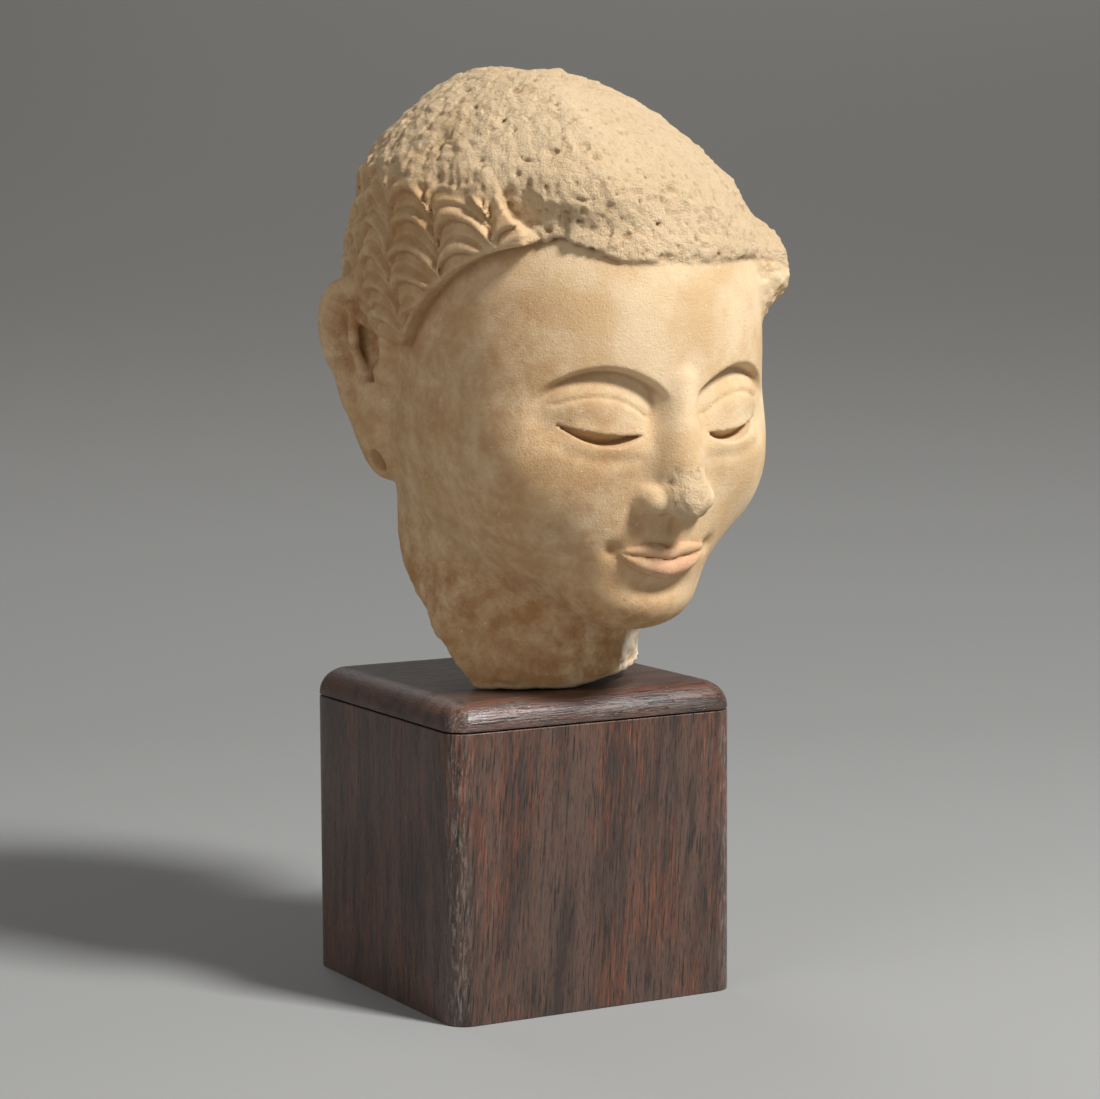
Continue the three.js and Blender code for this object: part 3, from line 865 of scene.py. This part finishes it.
def blockTree():
    inputs = [
        ("Side", "NodeSocketFloat", 0.1),
        ("Base", "NodeSocketFloat", 0.0),
        ("Top", "NodeSocketFloat", 0.1),
        ("Corner Radius", "NodeSocketFloat", 0.007),
        ("Top Corner Radius", "NodeSocketFloat", 0.007),
        ("Base Ease", "NodeSocketFloat", 0.0004),
        ("Top Round", "NodeSocketFloat", 0.0004),
        ("Cuts Around", "NodeSocketInt", 9),
        ("Cuts Up", "NodeSocketInt", 5),
        ("Wear Depth", "NodeSocketFloat", 0.00012),
        ("Seed", "NodeSocketFloat", 3.0),
        ("Finish", "NodeSocketMaterial", None),
    ]
    outputs = [("Geometry", "NodeSocketGeometry", None)]
    tree, given, result = openGroup("GeometryNodeTree", "roundedBlock", inputs, outputs)
    put = given.outputs

    def vectorOf(x, y, z):
        return addNode(tree, "ShaderNodeCombineXYZ", None, {"X": x, "Y": y, "Z": z}).outputs[0]

    def split(vector):
        return addNode(tree, "ShaderNodeSeparateXYZ", None, {"Vector": vector}).outputs

    def switch(test, no, yes):
        made = addNode(tree, "GeometryNodeSwitch", {"input_type": "FLOAT"})
        plug(tree, made.inputs["Switch"], test)
        plug(tree, made.inputs["False"], no)
        plug(tree, made.inputs["True"], yes)
        return made.outputs[0]

    def isIndex(number):
        made = addNode(tree, "FunctionNodeCompare", {"data_type": "INT", "operation": "EQUAL"})
        plug(tree, made.inputs["A"], addNode(tree, "GeometryNodeInputIndex").outputs[0])
        made.inputs["B"].default_value = number
        return made.outputs[0]

    def finer(curve, cuts):
        made = addNode(tree, "GeometryNodeSubdivideCurve")
        plug(tree, made.inputs["Curve"], curve)
        plug(tree, made.inputs["Cuts"], cuts)
        return made.outputs[0]

    def pointCount(curve):
        made = addNode(tree, "GeometryNodeAttributeDomainSize", {"component": "CURVE"})
        plug(tree, made.inputs[0], curve)
        return made.outputs["Point Count"]

    half = calc(tree, "MULTIPLY", put["Side"], 0.5)
    # the ring: a square with rounded corners, seen from above
    ring = addNode(tree, "GeometryNodeCurvePrimitiveQuadrilateral", {"mode": "RECTANGLE"})
    plug(tree, ring.inputs["Width"], put["Side"])
    plug(tree, ring.inputs["Height"], put["Side"])
    rounded = addNode(tree, "GeometryNodeFilletCurve", {"mode": "POLY"})
    plug(tree, rounded.inputs["Curve"], ring.outputs[0])
    plug(tree, rounded.inputs["Radius"], put["Corner Radius"])
    rounded.inputs["Count"].default_value = 8
    fineRing = finer(rounded.outputs[0], put["Cuts Around"])
    pointsAround = pointCount(fineRing)
    # the section: how far in from the side, and how high, from the base's middle to the top's middle
    section = addNode(tree, "GeometryNodeCurvePrimitiveQuadrilateral", {"mode": "POINTS"})
    for name, x, z in (
        ("Point 1", half, put["Base"]),
        ("Point 2", 0.0, put["Base"]),
        ("Point 3", 0.0, put["Top"]),
        ("Point 4", half, put["Top"]),
    ):
        plug(tree, section.inputs[name], vectorOf(x, 0.0, z))
    openSection = addNode(tree, "GeometryNodeSetSplineCyclic")
    plug(tree, openSection.inputs[0], section.outputs[0])
    radius = switch(isIndex(1), 0.0, put["Base Ease"])
    radius = switch(isIndex(2), radius, put["Top Round"])
    easedSection = addNode(tree, "GeometryNodeFilletCurve", {"mode": "POLY"})
    plug(tree, easedSection.inputs["Curve"], openSection.outputs[0])
    plug(tree, easedSection.inputs["Radius"], radius)
    easedSection.inputs["Count"].default_value = 12
    fineSection = finer(easedSection.outputs[0], put["Cuts Up"])
    pointsUp = pointCount(fineSection)
    # the net that both are read onto
    around = calc(tree, "ADD", pointsAround, 1.0)
    net = addNode(tree, "GeometryNodeMeshGrid")
    plug(tree, net.inputs["Size X"], pointsAround)
    plug(tree, net.inputs["Size Y"], calc(tree, "SUBTRACT", pointsUp, 1.0))
    plug(tree, net.inputs["Vertices X"], around)
    plug(tree, net.inputs["Vertices Y"], pointsUp)
    spot = split(addNode(tree, "GeometryNodeInputPosition").outputs[0])
    halfAround = calc(tree, "MULTIPLY", pointsAround, 0.5)
    ringIndex = calc(tree, "ROUND", calc(tree, "ADD", spot[0], halfAround))
    ringIndex = calc(tree, "MODULO", ringIndex, pointsAround)
    halfUp = calc(tree, "MULTIPLY", calc(tree, "SUBTRACT", pointsUp, 1.0), 0.5)
    upIndex = calc(tree, "ROUND", calc(tree, "ADD", spot[1], halfUp))

    def readAt(curve, index):
        made = addNode(tree, "GeometryNodeSampleIndex", {"data_type": "FLOAT_VECTOR", "domain": "POINT"})
        plug(tree, made.inputs["Geometry"], curve)
        position = addNode(tree, "GeometryNodeInputPosition").outputs[0]
        plug(tree, made.inputs["Value"], position)
        plug(tree, made.inputs["Index"], index)
        return split(made.outputs[0])

    ringSpot = readAt(fineRing, ringIndex)
    sectionSpot = readAt(fineSection, upIndex)
    inset, height = sectionSpot[0], sectionSpot[2]
    corner = put["Corner Radius"]
    straight = calc(tree, "SUBTRACT", half, corner)
    rounding = calc(tree, "DIVIDE", inset, calc(tree, "MAXIMUM", put["Top Round"], 1e-6), clamp=True)
    shrink = calc(tree, "SUBTRACT", corner, put["Top Corner Radius"])
    highUp = calc(tree, "GREATER_THAN", height, calc(tree, "ADD", put["Base"], put["Base Ease"]))
    shrink = calc(tree, "MULTIPLY", calc(tree, "MULTIPLY", shrink, rounding), highUp)
    newRadius = calc(tree, "SUBTRACT", corner, shrink)
    room = calc(tree, "SUBTRACT", half, inset)
    newRadius = calc(tree, "MINIMUM", newRadius, room)
    newStraight = calc(tree, "SUBTRACT", room, newRadius)

    def placed(value):
        low = calc(tree, "MULTIPLY", straight, -1.0)
        middle = calc(tree, "MAXIMUM", calc(tree, "MINIMUM", value, straight), low)
        off = calc(tree, "DIVIDE", calc(tree, "SUBTRACT", value, middle), corner)
        share = calc(tree, "DIVIDE", middle, straight)
        moved = calc(tree, "MULTIPLY", share, newStraight)
        return calc(tree, "ADD", moved, calc(tree, "MULTIPLY", off, newRadius)), off

    newX, offX = placed(ringSpot[0])
    newY, offY = placed(ringSpot[1])
    # how much each place is rounded over: for the worn finish on the rounded top edges, and for a painted highlight
    # on the upright corners
    cornerHighlight = calc(tree, "ABSOLUTE", calc(tree, "MULTIPLY", calc(tree, "MULTIPLY", offX, offY), 2.0))
    left = calc(tree, "SUBTRACT", 1.0, rounding)
    topWear = calc(tree, "MULTIPLY", calc(tree, "MULTIPLY", rounding, left), 4.0)
    topWear = calc(tree, "MULTIPLY", topWear, highUp)
    inFace = calc(tree, "LESS_THAN", inset, calc(tree, "MAXIMUM", put["Top Round"], 0.001))
    cornerHighlight = calc(tree, "MULTIPLY", cornerHighlight, inFace)
    marked = net.outputs[0]
    for name, values in (("edgeWear", topWear), ("cornerHighlight", cornerHighlight)):
        store = addNode(tree, "GeometryNodeStoreNamedAttribute", {"data_type": "FLOAT", "domain": "POINT"})
        plug(tree, store.inputs["Geometry"], marked)
        store.inputs["Name"].default_value = name
        plug(tree, store.inputs["Value"], values)
        marked = store.outputs[0]
    shaped = addNode(tree, "GeometryNodeSetPosition")
    plug(tree, shaped.inputs["Geometry"], marked)
    plug(tree, shaped.inputs["Position"], vectorOf(newX, newY, height))
    joined = addNode(tree, "GeometryNodeMergeByDistance")
    plug(tree, joined.inputs["Geometry"], shaped.outputs[0])
    joined.inputs["Distance"].default_value = 0.00001
    # handling has left the faces a little uneven, always inwards
    position = addNode(tree, "GeometryNodeInputPosition").outputs[0]
    noise = addNode(tree, "ShaderNodeTexNoise", {"noise_dimensions": "4D"})
    plug(tree, noise.inputs["Vector"], position)
    plug(tree, noise.inputs["W"], put["Seed"])
    noise.inputs["Scale"].default_value = 70
    depth = calc(tree, "MULTIPLY", noise.outputs["Fac"], put["Wear Depth"])
    scaled = addNode(tree, "ShaderNodeVectorMath", {"operation": "SCALE"})
    plug(tree, scaled.inputs[0], addNode(tree, "GeometryNodeInputNormal").outputs[0])
    plug(tree, scaled.inputs["Scale"], calc(tree, "MULTIPLY", depth, -1.0))
    worn = addNode(tree, "GeometryNodeSetPosition")
    plug(tree, worn.inputs["Geometry"], joined.outputs[0])
    plug(tree, worn.inputs["Offset"], scaled.outputs[0])
    real = addNode(tree, "GeometryNodeRealizeInstances")
    plug(tree, real.inputs[0], worn.outputs[0])
    finished = addNode(tree, "GeometryNodeSetMaterial")
    plug(tree, finished.inputs["Geometry"], real.outputs[0])
    plug(tree, finished.inputs["Material"], put["Finish"])
    plug(tree, result.inputs[0], finished.outputs[0])
    return tree


def runTree(tree, name, values):
    holder = bpy.data.objects.new(name + "Holder", bpy.data.meshes.new(name + "Holder"))
    bpy.context.collection.objects.link(holder)
    modifier = holder.modifiers.new("shape", "NODES")
    modifier.node_group = tree
    for item in tree.interface.items_tree:
        if item.in_out == "INPUT" and item.name in values:
            modifier[item.identifier] = values[item.name]
    ready = holder.evaluated_get(bpy.context.evaluated_depsgraph_get())
    mesh = bpy.data.meshes.new_from_object(ready)
    bpy.data.objects.remove(holder)
    mesh.name = name
    mesh.shade_smooth()
    made = bpy.data.objects.new(name, mesh)
    bpy.context.collection.objects.link(made)
    return made


# dark wood
wood = {
    "dark": (0.012, 0.009, 0.008, 1),
    "umber": (0.04, 0.026, 0.02, 1),
    "brown": (0.095, 0.056, 0.041, 1),
    "red": (0.15, 0.048, 0.024, 1),
    "orange": (0.33, 0.12, 0.05, 1),
    "silver": (0.4, 0.35, 0.31, 1),
}


def woodGroup():
    inputs = [
        ("Vector", "NodeSocketVector", None),  # the grain runs along its Z
        ("Streak Size", "NodeSocketFloat", 1.0),
        ("Redness", "NodeSocketFloat", 0.6),
        ("Edge Wear", "NodeSocketFloat", 0.0),
        ("Corner Highlight", "NodeSocketFloat", 0.0),
        ("Seed", "NodeSocketFloat", 0.0),
    ]
    outputs = [
        ("Color", "NodeSocketColor", None),
        ("Roughness", "NodeSocketFloat", None),
        ("Height", "NodeSocketFloat", None),
    ]
    tree, given, result = openGroup("ShaderNodeTree", "darkWoodFigure", inputs, outputs)
    put = given.outputs
    seeds = {axis: put["Seed"] for axis in "XYZ"}
    shift = addNode(tree, "ShaderNodeCombineXYZ", None, seeds).outputs[0]
    shifted = vectorCalc(tree, "ADD", put["Vector"], shift)

    def along(stretch):
        made = addNode(tree, "ShaderNodeMapping", {"vector_type": "POINT"})
        plug(tree, made.inputs["Vector"], shifted)
        made.inputs["Scale"].default_value = (1, 1, stretch)
        return made.outputs[0]

    bands = noiseOf(tree, along(0.09), 6, 3, 0.6, 0.3)
    streaks = noiseOf(tree, along(0.07), 1.5, 4, 0.65, 0.15)
    lines = noiseOf(tree, along(0.05), 0.75, 3, 0.7)
    fibres = noiseOf(tree, along(0.09), 0.4, 2, 0.7)
    broad = noiseOf(tree, along(0.5), 26, 3, 0.5)
    colour = blendColours(tree, remap(tree, bands, 0.36, 0.62), wood["umber"], wood["brown"])
    redZone = calc(tree, "MULTIPLY", remap(tree, broad, 0.42, 0.62, 0.15, 1.0), put["Redness"])
    reds = calc(tree, "MULTIPLY", remap(tree, streaks, 0.42, 0.62), redZone)
    colour = blendColours(tree, calc(tree, "MULTIPLY", reds, 0.85), colour, wood["red"])
    glow = calc(tree, "MULTIPLY", remap(tree, lines, 0.56, 0.7), redZone)
    colour = blendColours(tree, calc(tree, "MULTIPLY", glow, 0.6), colour, wood["orange"])
    openPores = remap(tree, lines, 0.44, 0.34)
    colour = blendColours(tree, calc(tree, "MULTIPLY", openPores, 0.85), colour, wood["dark"])
    colour = blendColours(tree, remap(tree, fibres, 0.5, 0.34, 0, 0.55), colour, wood["dark"])
    polish = calc(tree, "MULTIPLY", put["Edge Wear"], remap(tree, streaks, 0.4, 0.65, 0.0, 0.8))
    colour = blendColours(tree, polish, colour, wood["red"])
    # painted highlight: silver dashes along the rounded upright corners
    dashes = noiseOf(tree, along(0.14), 0.8, 3, 0.7)
    cornerGlint = calc(tree, "MULTIPLY", put["Corner Highlight"], remap(tree, dashes, 0.5, 0.62))
    colour = blendColours(tree, calc(tree, "MULTIPLY", cornerGlint, 0.35), colour, wood["silver"])
    plug(tree, result.inputs["Color"], colour)
    plug(tree, result.inputs["Roughness"], remap(tree, fibres, 0.3, 0.7, 0.28, 0.5))
    height = calc(tree, "SUBTRACT", fibres, calc(tree, "MULTIPLY", openPores, 0.8))
    plug(tree, result.inputs["Height"], height)
    return tree


def woodMaterial(name, group, turn, redness, seed):
    material = bpy.data.materials.new(name)
    material.use_nodes = True
    tree = material.node_tree
    shader = tree.nodes["Principled BSDF"]
    place = addNode(tree, "ShaderNodeTexCoord").outputs["Object"]
    turned = addNode(tree, "ShaderNodeMapping", None, {"Vector": place})
    turned.inputs["Rotation"].default_value = turn
    figure = addNode(tree, "ShaderNodeGroup", {"node_tree": group})
    plug(tree, figure.inputs["Vector"], turned.outputs[0])
    figure.inputs["Redness"].default_value = redness
    figure.inputs["Seed"].default_value = seed
    for socket, name in (("Edge Wear", "edgeWear"), ("Corner Highlight", "cornerHighlight")):
        worn = addNode(tree, "ShaderNodeAttribute", {"attribute_name": name}).outputs["Fac"]
        tree.links.new(worn, figure.inputs[socket])
    tree.links.new(figure.outputs["Color"], shader.inputs["Base Color"])
    tree.links.new(figure.outputs["Roughness"], shader.inputs["Roughness"])
    shader.inputs["Coat Roughness"].default_value = 0.3
    shader.inputs["Coat Weight"].default_value = 0.3
    bumpNode = addNode(tree, "ShaderNodeBump", None, {"Height": figure.outputs["Height"], "Strength": 0.7})
    bumpNode.inputs["Distance"].default_value = 0.0003
    tree.links.new(bumpNode.outputs["Normal"], shader.inputs["Normal"])
    return material


def makePlinth():
    group = woodGroup()
    bodyWood = woodMaterial("bodyWood", group, (0, math.radians(-4), 0), 0.9, 0.0)
    capWood = woodMaterial("capWood", group, (0, math.pi / 2, 0), 0.55, 0.37)
    tree = blockTree()
    shared = {"Side": block["side"], "Corner Radius": block["cornerRadius"], "Base Ease": block["ease"]}
    body = runTree(
        tree,
        "plinthBody",
        shared
        | {
            "Base": 0.0,
            "Top": block["bodyTop"],
            "Top Corner Radius": block["cornerRadius"],
            "Top Round": block["ease"],
            "Seed": 3.0,
            "Finish": bodyWood,
        },
    )
    cap = runTree(
        tree,
        "plinthCap",
        shared
        | {
            "Base": block["capBase"],
            "Top": block["capTop"],
            "Top Corner Radius": block["roundedCornerTop"],
            "Top Round": block["edgeRound"],
            "Seed": 8.0,
            "Finish": capWood,
        },
    )
    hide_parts("plinth_body")
    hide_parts("plinth_cap")
    for piece in (body, cap):
        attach(piece, "root")
    print("plinth made")


makePlinth()
stuccoHead = makeHead()
stuccoHead.data.materials.append(stuccoMaterial())
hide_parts("head")
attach(stuccoHead, "root")
